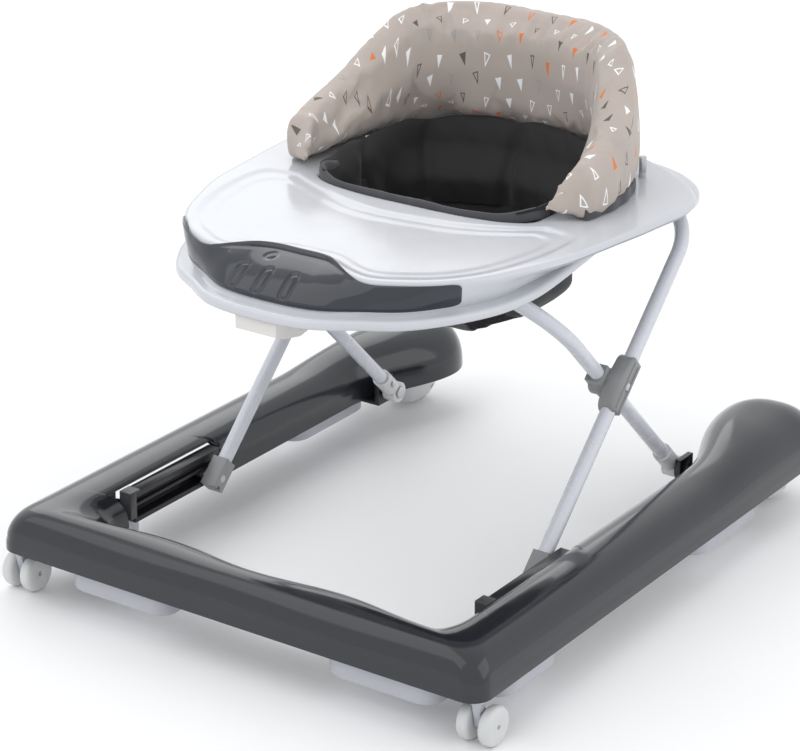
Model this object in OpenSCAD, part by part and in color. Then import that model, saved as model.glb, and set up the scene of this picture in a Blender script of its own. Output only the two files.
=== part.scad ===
// Baby walker: a U-shaped base on casters, a scissor frame of two bent tubes and
// a tray that carries the seat. The walker is shown open, at its highest setting.
// y runs from the front of the base to its rear, x to the right and z up.

/* [Base] */
// Width of the base shell
base_w = 600; // [560:1:640]
// Length of the base shell, front to rear
base_l = 732; // [700:1:760]
// Height of the shell's bottom edge above the floor
base_z = 52; // [48:1:56]
// Width of a side arm
arm_w = 81; // [76:1:90]
// Depth of the front bar at its middle
bar_depth = 66; // [60:1:80]
// Height of the shell above its bottom edge
shell_h = 46; // [42:1:50]
// Width of the rounded lobe at the rear of each arm
lobe_w = 124; // [110:1:130]
// Height of the lobe above the shell's bottom edge
lobe_h = 58; // [52:1:64]
// Wall thickness of the shell
shell_wall = 2.5; // [2:0.5:4]

/* [Feet and wheels] */
// Height of the friction pads' underside above the floor
pad_z = 25; // [20:1:30]
// Radius of a front caster wheel
caster_r = 20.5; // [18:0.5:21]
// Thickness of one disc of a twin caster
disc_w = 13.5; // [11:0.5:14]
// Distance of the wheel axle behind the caster's pivot
caster_trail = 10; // [6:1:12]
// Radius of a rear wheel
rear_r = 20; // [18:0.5:22]

/* [Folding frame] */
// Outer diameter of the frame tubes
tube_d = 16; // [14:0.5:18]
// Length between the end pivots of each frame
link_l = 436; // [420:1:450]
// Angle of the frames above the horizontal when the walker is open
open_angle = 44.5; // [40:0.5:46]
// Distance of the slide frame's tubes from the middle
slide_x = 206; // [206:0.5:207]
// Distance of the pivot frame's tubes from the middle
pivot_x = 187; // [186:0.5:187]
// Radius of the bends at the top of the slide frame
bend_r = 60; // [50:1:70]
// Radius of the wide bends at the top of the pivot frame
wide_bend_r = 140; // [135:1:145]
// Height of the lower pivots above the floor
pivot_z = 65; // [64:0.5:66]
// Distance of the base pivots from the front of the base
pivot_y = 560; // [555:1:565]

/* [Tray and seat] */
// Height of the tray's upper surface
tray_z = 399; // [396:1:402]
// Height of the top of the backrest
back_z = 546; // [530:1:550]
// Height of the bottom of the seat
seat_z = 238; // [230:1:260]
// Thickness of the tray's wall
tray_wall = 3; // [2.5:0.5:4]

/* [Hidden] */

shell_grey = [0.27, 0.28, 0.31];
pad_grey = [0.72, 0.72, 0.75];
caster_white = [0.84, 0.84, 0.84];
clamp_grey = [0.55, 0.55, 0.56];
tube_white = [0.82, 0.82, 0.85];
tray_white = [0.91, 0.92, 0.94];
panel_grey = [0.26, 0.28, 0.32];
latch_white = [0.86, 0.85, 0.83];
rail_black = [0.1, 0.1, 0.11];
steel = [0.62, 0.63, 0.65];
fabric_greige = [0.7, 0.66, 0.62];
lining_black = [0.13, 0.13, 0.15];
binding_grey = [0.27, 0.27, 0.29];

round_fn = 32;
half_w = base_w / 2;
arm_in = half_w - arm_w;
lobe_r = lobe_w / 2;
lobe_x = half_w - lobe_r;
lobe_y = base_l - lobe_r;
corner_r = 22;
inner_r = 34;
dome_n = 2.5;
arc_n = 12;

reach = link_l * cos(open_angle);
rise = link_l * sin(open_angle);
slide_y = pivot_y - reach;
top_z = pivot_z + rise;
tube_r = tube_d / 2;
tube_wall = 1.2;
fit = 0.05;
gap = 0.3;

// Everything is measured from the front of the base and then centred.
module placed() {
    translate([0, -base_l / 2, 0]) children();
}

// side is 1 for the right and -1 for the left
module on_side(side) {
    if (side > 0) children();
    else mirror([1, 0, 0]) children();
}

module along_x(x0, x1, y, z, r) {
    translate([x0, y, z]) rotate([0, 90, 0]) cylinder(h = x1 - x0, r = r, $fn = round_fn);
}

module box(low, high) {
    translate(low) cube(high - low);
}

function smooth(t) = let (u = min(1, max(0, t))) u * u * (3 - 2 * u);
function dome(c) = pow(max(0, 1 - pow(abs(c), dome_n)), 1 / dome_n);
function flat(lists) = [for (l = lists) for (item = l) item];

// A closed skin over rings of points: rings are lists of the same, even length. An end
// is closed by triangles that join the first half of its ring to the second half.
module ring_skin(rings, closed_loop) {
    n = len(rings[0]);
    m = len(rings);
    last = closed_loop ? m : m - 1;
    sides = [for (i = [0:last - 1]) for (j = [0:n - 1])
        let (k = (i + 1) % m, l = (j + 1) % n)
        each [[i * n + j, i * n + l, k * n + l], [i * n + j, k * n + l, k * n + j]]];
    far = (m - 1) * n;
    ends = closed_loop ? [] : [for (j = [0:n / 2 - 2]) let (l = n - 1 - j)
        each [[l, l - 1, j + 1], [l, j + 1, j],
              [far + j, far + j + 1, far + l - 1], [far + j, far + l - 1, far + l]]];
    polyhedron(points = flat(rings), faces = concat(sides, ends), convexity = 8);
}

// ---- Base shell ----

// Inner edge of the front bar: a soft wave that is deepest at a third of its length
bar_in_end = arm_in - inner_r;
function bar_inner(x) = bar_depth + 7 * (1 - cos(360 * x / bar_in_end));
// How far the arm swells inwards towards its rear lobe
function swell(y) = (lobe_w - arm_w) * smooth((y - 520) / 150);
function arm_rise(y) = shell_h + (lobe_h - shell_h) * smooth((y - 480) / 150);

rail_front = slide_y - 121;
rail_rear = slide_y + 24;
rail_depth = 16;
window_front = rail_front - 11;
window_rear = rail_rear + 12;
window_edge = 0.61;

// A station of the shell: outer point, inner point, height, 1 where it is hollow, and
// how far its section reaches inwards. A window in each arm's inner wall, where the
// section stops short, leaves room for the slide rail.
bar_stations = [for (i = [0:5]) let (t = i / 6)
    [[t * (half_w - corner_r), 0], [t * bar_in_end, bar_inner(t * bar_in_end)], shell_h, 1, 1]];
corner_stations = [for (a = [0:18:90])
    [[half_w - corner_r * (1 - sin(a)), corner_r * (1 - cos(a))],
     [arm_in - inner_r * (1 - sin(a)), bar_inner(bar_in_end) + inner_r * (1 - cos(a))],
     shell_h, 1, 1]];
arm_start = bar_inner(bar_in_end) + inner_r;
arm_steps = [window_front - 1, window_front, 165, 220, window_rear, window_rear + 1,
    each [325:50:475], each [505:28:645], lobe_y];
arm_stations = [for (y = arm_steps)
    [[half_w, corner_r + (y - arm_start) * (lobe_y - corner_r) / (lobe_y - arm_start)],
     [arm_in - swell(y), y], arm_rise(y), 1,
     y >= window_front && y <= window_rear ? window_edge : 1]];
end_angle = 83.5;
end_stations = [for (b = [15, 30, 45, 56, 63, 70, 77, end_angle])
    let (y = lobe_y + lobe_r * sin(b) / sin(end_angle))
    [[lobe_x + lobe_r * cos(b), y], [lobe_x - lobe_r * cos(b), y],
     lobe_h * dome(sin(b)), b < 60 ? 1 : 0, 1]];
half_stations = concat(bar_stations, corner_stations, arm_stations, end_stations);
function mirrored(s) = [[-s[0][0], s[0][1]], [-s[1][0], s[1][1]], s[2], s[3], s[4]];
stations = concat([for (i = [len(half_stations) - 1:-1:1]) mirrored(half_stations[i])],
    half_stations);

function shell_ring(s) = let (mid = (s[0] + s[1]) / 2, half = (s[1] - s[0]) / 2,
        in_k = 1 - shell_wall / norm(half), in_h = s[3] > 0 ? s[2] - shell_wall : 1.5)
    concat(
        [for (k = [0:arc_n]) let (c = across(k, s[4]), p = mid + half * c)
            [p[0], p[1], base_z + s[2] * dome(c)]],
        [for (k = [arc_n:-1:0]) let (c = across(k, s[4]), p = mid + half * c * in_k)
            [p[0], p[1], base_z + in_h * dome(c)]]);
// Place of point k across a section, from -1 at the outer edge to reach at the inner one
function across(k, reach) = let (c = -cos(180 * k / arc_n)) c > 0 ? c * reach : c;

module base_shell() color(shell_grey) placed()
    ring_skin([for (s = stations) shell_ring(s)], false);

// ---- Friction pads, screwed up into the shell ----

pad_top = base_z + 0.4;
boss_top = base_z + shell_h - shell_wall - 2;
boss_r = 5;

module stadium(length, width, height) {
    end = width / 2;
    translate([-length / 2 + end, -end, 0]) cube([length - width, width, height]);
    for (s = [-1, 1]) translate([s * (length / 2 - end), 0, 0])
        cylinder(h = height, r = end, $fn = round_fn);
}

module friction_pad(length, width) {
    bolt = length / 2 - 30;
    difference() {
        union() {
            translate([0, 0, pad_z + 3]) stadium(length, width, pad_top - pad_z - 3);
            translate([0, 0, pad_z]) stadium(length - 7, width - 7, 4);
            for (s = [-1, 1]) translate([s * bolt, 0, pad_top - 1])
                cylinder(h = boss_top - pad_top + 1, r = boss_r, $fn = round_fn);
        }
        for (s = [-1, 1]) translate([s * bolt, 0, pad_z - 1]) {
            cylinder(h = 9, r = 4.2, $fn = round_fn);
            cylinder(h = boss_top - pad_z - 4, r = 2.1, $fn = round_fn);
        }
    }
}

module front_pad_at(x) translate([x, 33, 0]) children();
module side_pad_at(side, y) translate([side * 263, y, 0]) rotate([0, 0, 90]) children();

front_pad_l = 132;
front_pad_w = 44;
side_pad_w = 50;
front_left_x = -151;
front_right_x = 175;
side_front_y = 116;
side_front_l = 108;
side_rear_y = 511;
side_rear_l = 142;

module pad_front_left() color(pad_grey) placed()
    front_pad_at(front_left_x) friction_pad(front_pad_l, front_pad_w);
module pad_front_right() color(pad_grey) placed()
    front_pad_at(front_right_x) friction_pad(front_pad_l, front_pad_w);
module pad_side_front_left() color(pad_grey) placed()
    side_pad_at(-1, side_front_y) friction_pad(side_front_l, side_pad_w);
module pad_side_front_right() color(pad_grey) placed()
    side_pad_at(1, side_front_y) friction_pad(side_front_l, side_pad_w);
module pad_side_rear_left() color(pad_grey) placed()
    side_pad_at(-1, side_rear_y) friction_pad(side_rear_l, side_pad_w);
module pad_side_rear_right() color(pad_grey) placed()
    side_pad_at(1, side_rear_y) friction_pad(side_rear_l, side_pad_w);

module pad_screws(length) {
    for (s = [-1, 1]) translate([s * (length / 2 - 30), 0, pad_z + 4.5]) {
        cylinder(h = 3.4, r = 3.8, $fn = round_fn);
        cylinder(h = 42, r = 2, $fn = round_fn);
    }
}

module base_screws() color(steel) placed() {
    front_pad_at(front_left_x) pad_screws(front_pad_l);
    front_pad_at(front_right_x) pad_screws(front_pad_l);
    for (side = [-1, 1]) {
        side_pad_at(side, side_front_y) pad_screws(side_front_l);
        side_pad_at(side, side_rear_y) pad_screws(side_rear_l);
    }
}

// ---- Slide rails for the front ends of the slide frame ----

shoe_r = 6.3;
slot_r = 6.5;

module slide_rail(side) color(rail_black) placed() on_side(side) difference() {
    box([arm_in + 0.6, rail_front, base_z + 1], [arm_in + rail_depth, rail_rear, base_z + 36]);
    box([arm_in, rail_front - 1, pivot_z - slot_r], [arm_in + 13, rail_rear - 4, pivot_z + slot_r]);
    box([arm_in, rail_front - 1, base_z + 23], [arm_in + 6, rail_rear + 1, base_z + 29]);
}
module slide_rail_left() slide_rail(-1);
module slide_rail_right() slide_rail(1);

module rail_stop(side) color(binding_grey) placed() on_side(side) {
    box([arm_in - 2, rail_front - 10, base_z + 8], [arm_in + rail_depth - 3, rail_front, base_z + 39]);
    box([arm_in - 2, rail_front - 10, base_z + 36.2],
        [arm_in + rail_depth - 3, rail_front + 6, base_z + 39]);
}
module rail_stop_left() rail_stop(-1);
module rail_stop_right() rail_stop(1);

// ---- Rear pivots of the pivot frame ----

foot_r = 12;
foot_x0 = pivot_x - 8;
foot_x1 = pivot_x + 8;
pin_r = 4;

module pivot_bracket(side) color(rail_black) placed() on_side(side) difference() {
    union() {
        box([foot_x1 + 3, pivot_y - 15, base_z - 4], [foot_x1 + 9.5, pivot_y + 13, pivot_z + 15]);
        box([foot_x1 + 3, pivot_y - 15, base_z - 4], [foot_x1 + 36, pivot_y + 13, base_z - 0.2]);
        along_x(foot_x1 + 0.5, foot_x1 + 4, pivot_y, pivot_z, 9);
    }
    along_x(foot_x1 - 1, foot_x1 + 11, pivot_y, pivot_z, pin_r);
}
module pivot_bracket_left() pivot_bracket(-1);
module pivot_bracket_right() pivot_bracket(1);

module pivot_pins() color(steel) placed() for (side = [-1, 1]) on_side(side) {
    along_x(foot_x0 - 3, foot_x1 + 9.5, pivot_y, pivot_z, pin_r);
    along_x(foot_x0 - 3, foot_x0 - 0.5, pivot_y, pivot_z, 7);
}

// ---- Rear wheels in their housings ----

rear_y = 688;
rear_x = 243;
rear_w = 22;
axle_r = 3;

module rear_housing(side) color(caster_white) placed() on_side(side) difference() {
    union() {
        hull() {
            for (y = [643, 692]) translate([240, y, base_z - 8])
                cylinder(h = 7.8, r = 30, $fn = 32);
            for (y = [662, 684]) translate([rear_x, y, 9]) cylinder(h = 4, r = 19, $fn = 32);
        }
        for (y = [635, 652]) translate([240, y, base_z - 4])
            cylinder(h = 48, r = boss_r, $fn = round_fn);
    }
    box([rear_x - rear_w / 2 - 1, rear_y - rear_r - 2.5, -1],
        [rear_x + rear_w / 2 + 1, rear_y + rear_r + 2.5, base_z - 8]);
    along_x(rear_x - 40, rear_x + 40, rear_y, rear_r, axle_r);
    // steps in the rear lower edge
    for (k = [0:2]) along_x(rear_x - 50, rear_x + 50, 713 + 8 * k, 8 + 15 * k, 9);
}
module rear_housing_left() rear_housing(-1);
module rear_housing_right() rear_housing(1);

module rear_axles() color(steel) placed() for (side = [-1, 1]) on_side(side)
    along_x(rear_x - 16, rear_x + 16, rear_y, rear_r, axle_r);

// Half section of a wheel: a flat disc with rounded shoulders and a bore
module wheel(r, w, bore, shoulder) {
    arc = [for (a = [0:22.5:90]) [r - shoulder * (1 - cos(a)), w / 2 - shoulder * (1 - sin(a))]];
    rotate([0, 90, 0]) rotate_extrude($fn = 64) polygon(concat(
        [[bore, -w / 2]],
        [for (i = [len(arc) - 1:-1:0]) [arc[i][0], -arc[i][1]]],
        arc,
        [[bore, w / 2]]));
}

module rear_wheel(side) color(pad_grey) placed() translate([side * rear_x, rear_y, rear_r])
    wheel(rear_r, rear_w, axle_r + fit, 3);
module rear_wheel_left() rear_wheel(-1);
module rear_wheel_right() rear_wheel(1);

// ---- Front twin-wheel casters ----

caster_x = 286;
caster_y = 18;
caster_axle_r = 2.5;
disc_x = 5.5 + disc_w / 2;

module caster_at(side) placed() translate([side * caster_x, caster_y, 0]) children();

module caster_socket(side) color(caster_white) caster_at(side) difference() {
    translate([0, 0, base_z - 0.1]) cylinder(h = 16, r = 8, $fn = round_fn);
    translate([0, 0, base_z - 1]) cylinder(h = 15.5, r = pin_r + fit, $fn = round_fn);
}
module caster_socket_left() caster_socket(-1);
module caster_socket_right() caster_socket(1);

module caster_fork(side) color(pad_grey) caster_at(side) difference() {
    union() {
        translate([0, 0, base_z - 2]) cylinder(h = 15.5, r = pin_r, $fn = round_fn);
        translate([0, 0, base_z - 4.5]) cylinder(h = 4, r = 9, $fn = round_fn);
        hull() {
            translate([0, 0, base_z - 7]) cylinder(h = 3, r = 5, $fn = 32);
            translate([-4.6, caster_trail, caster_r]) rotate([0, 90, 0])
                cylinder(h = 9.2, r = 7, $fn = 32);
        }
    }
    translate([-10, caster_trail, caster_r]) rotate([0, 90, 0])
        cylinder(h = 20, r = caster_axle_r, $fn = round_fn);
}
module caster_fork_left() caster_fork(-1);
module caster_fork_right() caster_fork(1);

module caster_axle(side) color(steel) caster_at(side)
    along_x(-16, 16, caster_trail, caster_r, caster_axle_r);
module caster_axle_left() caster_axle(-1);
module caster_axle_right() caster_axle(1);

// outward is 1 for the disc on the outer side of the walker
module caster_disc(side, outward) color(caster_white) caster_at(side)
    translate([side * outward * disc_x, caster_trail, caster_r])
        wheel(caster_r, disc_w, caster_axle_r + fit, 5);
module caster_disc_left_outer() caster_disc(-1, 1);
module caster_disc_left_inner() caster_disc(-1, -1);
module caster_disc_right_outer() caster_disc(1, 1);
module caster_disc_right_inner() caster_disc(1, -1);

// ---- Folding frames ----

// The pivot frame rises forwards from the base pivots, the slide frame rearwards
// from the slide rails. In their own frames, y runs along the legs.
module pivot_placed() placed() translate([0, pivot_y, pivot_z]) rotate([180 - open_angle, 0, 0])
    children();
module slide_placed() placed() translate([0, slide_y, pivot_z]) rotate([open_angle, 0, 0])
    children();

module tube_ring() difference() {
    circle(r = tube_r, $fn = round_fn);
    circle(r = tube_r - tube_wall, $fn = round_fn);
}

module bent_frame(leg_x, start, bend) {
    straight = link_l - bend;
    for (side = [-1, 1]) on_side(side) {
        translate([leg_x, start, 0]) rotate([-90, 0, 0])
            linear_extrude(straight - start) tube_ring();
        translate([leg_x - bend, straight, 0]) rotate_extrude(angle = 90, $fn = 64)
            translate([bend, 0]) tube_ring();
    }
    translate([-(leg_x - bend), link_l, 0]) rotate([0, 90, 0])
        linear_extrude(2 * (leg_x - bend)) tube_ring();
}

rivet_r = 3;
pivot_start = 14;
slide_start = -8;

module pivot_frame_tube() color(tube_white) pivot_placed() difference() {
    bent_frame(pivot_x, pivot_start, wide_bend_r);
    along_x(-pivot_x - 9, -pivot_x + 9, link_l / 2, 0, rivet_r + fit);
    along_x(pivot_x - 9, pivot_x + 9, link_l / 2, 0, rivet_r + fit);
}

module slide_frame_tube() color(tube_white) slide_placed() difference() {
    bent_frame(slide_x, slide_start, bend_r);
    for (y = [0, link_l / 2]) {
        along_x(-slide_x - 9, -slide_x + 9, y, 0, (y == 0 ? pin_r : rivet_r) + fit);
        along_x(slide_x - 9, slide_x + 9, y, 0, (y == 0 ? pin_r : rivet_r) + fit);
    }
}

module frame_foot(side) color(caster_white) pivot_placed() on_side(side) difference() {
    union() {
        along_x(foot_x0, foot_x1, 0, 0, foot_r);
        translate([pivot_x, 4, 0]) rotate([-90, 0, 0]) cylinder(h = 10, r = 8, $fn = round_fn);
        translate([pivot_x, 10.5, 0]) rotate([-90, 0, 0]) cylinder(h = 26, r = 10.5, $fn = round_fn);
    }
    along_x(foot_x0 - 5, foot_x1 + 5, 0, 0, pin_r + fit);
    translate([pivot_x, pivot_start - 0.5, 0]) rotate([-90, 0, 0])
        cylinder(h = 40, r = tube_r + fit, $fn = round_fn);
    along_x(pivot_x - 14, pivot_x - 5, 24, 0, 1.9);
}
module frame_foot_left() frame_foot(-1);
module frame_foot_right() frame_foot(1);

module foot_screws() color(steel) pivot_placed() for (side = [-1, 1]) on_side(side) {
    along_x(pivot_x - 12.8, pivot_x - 10.6, 24, 0, 3.8);
    along_x(pivot_x - 12.8, pivot_x - tube_r - 0.1, 24, 0, 1.8);
}

// Each crossing is held by a sleeve on the pivot frame, a cover on the slide frame
// and a rivet through both, on which they turn.
clamp_w = 12;
module crossing_sleeve(side) color(clamp_grey) pivot_placed() on_side(side)
    translate([0, link_l / 2, 0]) difference() {
        union() {
            box([pivot_x - 10.5, -21, -10.5], [pivot_x + 9.3, 21, 10.5]);
            along_x(pivot_x - 10.5, pivot_x + 9.3, 0, 0, clamp_w + 3);
        }
        translate([pivot_x, -30, 0]) rotate([-90, 0, 0])
            cylinder(h = 60, r = tube_r + fit, $fn = round_fn);
        along_x(pivot_x - 12, pivot_x + 12, 0, 0, rivet_r + fit);
    }
module crossing_sleeve_left() crossing_sleeve(-1);
module crossing_sleeve_right() crossing_sleeve(1);

module crossing_cover(side) color(clamp_grey) slide_placed() on_side(side)
    translate([0, link_l / 2, 0]) difference() {
        union() {
            hull() {
                for (y = [-21, 21]) along_x(slide_x - 9.3, slide_x + 6, y, 0, clamp_w);
                along_x(slide_x - 9.3, slide_x + 6, 0, 0, clamp_w + 3);
                for (y = [-24, 24]) box([slide_x + 3, y - 5, 3 - clamp_w], [slide_x + 9.5, y + 5, clamp_w - 3]);
            }
            for (z = [-6, 4]) hull() for (y = [-25, 25]) along_x(slide_x + 9, slide_x + 10.8, y, z + 1, 1.6);
        }
        translate([slide_x, -40, 0]) rotate([-90, 0, 0])
            cylinder(h = 80, r = tube_r + fit, $fn = round_fn);
        along_x(slide_x - 12, slide_x + 12, 0, 0, rivet_r);
        along_x(slide_x + 6, slide_x + 12, 0, 0, 4.5);
    }
module crossing_cover_left() crossing_cover(-1);
module crossing_cover_right() crossing_cover(1);

module crossing_rivets() color(steel) slide_placed() for (side = [-1, 1]) on_side(side) {
    along_x(pivot_x - 13, slide_x + 10.5, link_l / 2, 0, rivet_r);
    along_x(pivot_x - 13, pivot_x - 11, link_l / 2, 0, 6);
    along_x(slide_x + 9, slide_x + 10.5, link_l / 2, 0, 4.3);
}

// Square caps on the front ends of the slide frame, each with a pin and a shoe
// that runs in the slide rail.
cap_half = 9.4;
module slide_cap(side) color(clamp_grey) slide_placed() on_side(side) difference() {
    box([slide_x - cap_half, -13, -cap_half], [slide_x + cap_half, 21, cap_half]);
    translate([slide_x, slide_start - 0.3, 0]) rotate([-90, 0, 0])
        cylinder(h = 60, r = tube_r + fit, $fn = round_fn);
    along_x(slide_x - 12, slide_x + 12, 0, 0, pin_r);
    box([slide_x - 12, -14, -3], [slide_x - 4, -9.5, 3]);
}
module slide_cap_left() slide_cap(-1);
module slide_cap_right() slide_cap(1);

module slide_pins() color(steel) slide_placed() for (side = [-1, 1]) on_side(side) {
    along_x(slide_x - cap_half, arm_in + 12, 0, 0, pin_r);
    along_x(arm_in + 2, arm_in + 12, 0, 0, shoe_r);
}

// ---- Tray ----

// Radii of the tray's outlines from a point in the seat opening, against the angle
// from the front. The left half mirrors the right.
tray_y = 380;
lip_outline = [[0, 326], [11, 324], [19, 311], [27, 303], [35, 287], [45, 265], [55, 242],
    [68, 217], [80, 204], [92, 197], [102, 199], [111, 212], [119, 240], [126, 263],
    [134, 277], [143, 280], [157, 271], [180, 260]];
top_outline = [[0, 250], [9, 256], [14, 272], [18, 284], [27, 283], [35, 279], [42, 270],
    [52, 255], [63, 244], [75, 234], [84, 232], [93, 236], [101, 243], [110, 257],
    [117, 264], [124, 262], [137, 252], [157, 242], [180, 240]];
opening_outline = [[0, 60], [22, 65], [40, 78], [55, 99], [66, 122], [75, 137], [84, 136],
    [98, 136.5], [112, 145], [124, 160], [135, 176], [146, 182], [160, 179], [180, 176]];
function folded(a) = abs(a) > 180 ? 360 - abs(a) : abs(a);
function tray_at(a, r, z) = [r * sin(a), tray_y - r * cos(a), z];
function lip_r(a) = lookup(folded(a), lip_outline);
function top_r(a) = lookup(folded(a), top_outline);
function open_r(a) = lookup(folded(a), opening_outline);
function lip_z(a) = 357 + 17 * smooth((folded(a) - 45) / 45);
front_half = 38;

// The skirt's slope between the lip and the top, at t from 0 to 1
function shelf_r(a) = lip_r(a) - 16;
function slope(a, t) = [shelf_r(a) + t * (top_r(a) - shelf_r(a)), lip_z(a) + 11 + t * (tray_z - 5 - lip_z(a) - 11)];

function tray_ring(a) = let (w = tray_wall, l = lip_r(a), t = top_r(a), o = open_r(a),
        s0 = slope(a, 0), s1 = slope(a, 1), z = lip_z(a))
    [for (p = [[o, tray_z - 12], [o, tray_z], [t - 5, tray_z], s1, s0, [l - 1, z + 9], [l, z],
        [l - w, z], [l - w - 1, z + 6], [s0[0] - 4, z + 7.5], [s1[0] - 3, s1[1] - 3.5],
        [t - 9, tray_z - w], [o + w, tray_z - w], [o + w, tray_z - 12]])
        tray_at(a, p[0], p[1])];

module tray_top() color(tray_white) placed()
    ring_skin([for (a = [0:6:354]) tray_ring(a)], true);

// The dark panel lies on the front slope, with a hump in its middle.
function panel_hump(a) = smooth((24 - abs(a)) / 14);
function panel_row(a, t, off) = let (s = slope(a, t), lift = off * (1 + panel_hump(a) * sin(180 * t) * 0.6))
    tray_at(a, s[0] + 0.55 * lift, s[1] + 0.83 * lift + 4 * panel_hump(a) * t);
// Offsets of the panel's two faces from the skirt
panel_outer = 5.4;
panel_inner = 3.5;
function panel_ring(a) = concat(
    [for (t = [0.06:0.235:1]) panel_row(a, t, panel_outer)],
    [for (t = [1:-0.235:0.06]) panel_row(a, t, panel_inner)]);

module front_panel() color(panel_grey) placed()
    ring_skin([for (a = [-front_half, each [-36:6:36], front_half]) panel_ring(a)], false);

// ---- Under the tray ----

skin_z = tray_z - tray_wall;
cross_y = slide_y;
fold_travel = link_l * cos(14) - reach;

// Plates with a long slot, in which the pivot frame's cross tube slides
guide_x = 35;
module front_guide(side) color(latch_white) placed() on_side(side) difference() {
    box([guide_x - 3, cross_y - fold_travel - 13, top_z - tube_r - 5],
        [guide_x + 3, cross_y + 20, skin_z - 0.2]);
    box([guide_x - 4, cross_y - fold_travel, top_z - tube_r - 0.5],
        [guide_x + 4, cross_y, top_z + tube_r + 0.5]);
    box([guide_x - 4, cross_y - fold_travel - 14, skin_z - 12], [guide_x + 4, 148, skin_z]);
    for (y = [cross_y - fold_travel, cross_y])
        along_x(guide_x - 4, guide_x + 4, y, top_z, tube_r + 0.5);
}
module front_guide_left() front_guide(-1);
module front_guide_right() front_guide(1);

// Screws run up through each bracket, in front of and behind the tube
screw_dy = 10.6;
module rear_bracket(side) color(latch_white) placed() on_side(side) difference() {
    union() {
        box([100, pivot_y - 13, top_z], [122, pivot_y + 13, skin_z - 0.2]);
        along_x(100, 122, pivot_y, top_z, 13);
    }
    along_x(99, 123, pivot_y, top_z, tube_r + fit);
    for (y = [-screw_dy, screw_dy]) translate([111, pivot_y + y, top_z - 15])
        cylinder(h = 50, r = 1.5 + fit, $fn = round_fn);
}
module rear_bracket_left() rear_bracket(-1);
module rear_bracket_right() rear_bracket(1);

module tray_screws() color(steel) placed() for (x = [-111, 111]) for (y = [-screw_dy, screw_dy])
    translate([x, pivot_y + y, top_z + 6]) cylinder(h = 17, r = 1.5, $fn = round_fn);

// The latch housing hangs under the tray's front with a finger grip behind it.
latch_half = 24.7;
latch_y = 90;
latch_z = 348;
latch_side = [[59.5, 357], [59.5, 341], [75, 335], [99, 330.5], [112, 333], [122, 333],
    [134, 328], [150, 321], [160, 324], [160, 352], [122, 355], [122, 382.5], [78, 362.5]];
latch_hollow = [[62.5, 354.5], [62.5, 343.5], [76, 338], [100, 333.5], [112, 336], [123, 336],
    [135, 331], [150, 324.5], [157, 327], [157, 349.5], [119.5, 352], [119.5, 392], [81, 378],
    [81, 354.5]];

module side_profile(points, x0, x1) {
    translate([x0, 0, 0]) rotate([90, 0, 90]) linear_extrude(x1 - x0) polygon(points);
}

module latch_housing() color(latch_white) placed() difference() {
    side_profile(latch_side, -latch_half, latch_half);
    side_profile(latch_hollow, -latch_half + 2.5, latch_half - 2.5);
    box([-11, 96, 325], [11, 121, 345]);
    along_x(-30, 30, latch_y, latch_z, 2);
}

module latch_pin() color(steel) placed() along_x(-24, 24, latch_y, latch_z, 2);

// A finger lever in the housing's underside, turning on the latch pin
module latch_lever() color(clamp_grey) placed() difference() {
    union() {
        along_x(-18, 18, latch_y, latch_z, 5);
        box([-18, latch_y, latch_z - 4], [18, 117, latch_z + 1]);
        box([-9.5, 98.5, 334.5], [9.5, 117, latch_z + 1]);
    }
    along_x(-30, 30, latch_y, latch_z, 2 + fit);
}

// ---- Soft parts ----

// The backrest is a band round the rear of the opening. u runs from -1 at its left
// front end over the rear to 1 at its right front end.
back_a = 190;
back_b = 172;
back_y = 420;
function back_outer(u, inset) = [(back_a - inset) * sin(105 * u), back_y + (back_b - inset) * cos(105 * u)];
function back_top(u) = let (y = back_outer(u, 0)[1])
    lookup(y, [[372, 444], [405, 459], [450, 481], [480, 503], [500, 520], [516, 533],
        [540, back_z - 3], [560, back_z]]);
function opening_point(u, out) = let (a = 180 - 112 * u, r = open_r(abs(a)) + out)
    [r * sin(a), tray_y - r * cos(a)];
function lean(u, t, inset) = let (o = back_outer(u, inset), i = opening_point(u, 5))
    i + (o - i) * t;

// A thin board in a pocket of the pad keeps the backrest upright. The pocket opens
// below and ends short of the pad's front ends.
soft_z = tray_z + 1.2;
board_u = 0.86;
board_step = board_u / 14;
function pocket_top(u) = abs(u) < board_u + 0.001 ? back_top(u) - 21.5 : soft_z + 0.5;

function pad_ring(u) = let (z = back_top(u), low = soft_z, m = (low + z) / 2,
        o = back_outer(u, 0), o2 = back_outer(u, 4), top = back_outer(u, 14), q = back_outer(u, 26),
        qm = back_outer(u, 31), i = opening_point(u, 4), f = smooth((1 - abs(u)) * 5),
        mid = qm * f + lean(u, 0.45, 30) * (1 - f),
        slot_o = back_outer(u, 7.6), slot_i = back_outer(u, 11.4), roof = pocket_top(u))
    [[o[0], o[1], low], [o[0], o[1], m], [o2[0], o2[1], z - 8], [top[0], top[1], z],
     [q[0], q[1], z - 9], [mid[0], mid[1], m], [i[0], i[1], low + 10], [i[0], i[1], low],
     [slot_i[0], slot_i[1], low], [slot_i[0], slot_i[1], roof],
     [slot_o[0], slot_o[1], roof], [slot_o[0], slot_o[1], low]];

function board_ring(u) = let (z = back_top(u) - 22, low = soft_z + 1,
        o = back_outer(u, 8), i = back_outer(u, 11))
    [[o[0], o[1], low], [o[0], o[1], z], [i[0], i[1], z], [i[0], i[1], low]];

module backrest_board() color(clamp_grey) placed()
    ring_skin([for (k = [-13.9, each [-13:13], 13.9]) board_ring(k * board_step)], false);

module backrest_pad() color(fabric_greige) placed()
    ring_skin([for (u = [-1, -0.93, -board_u - 0.01, each [-board_u:board_step:board_u + 0.001],
        board_u + 0.01, 0.93, 1]) pad_ring(u)], false);

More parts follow.
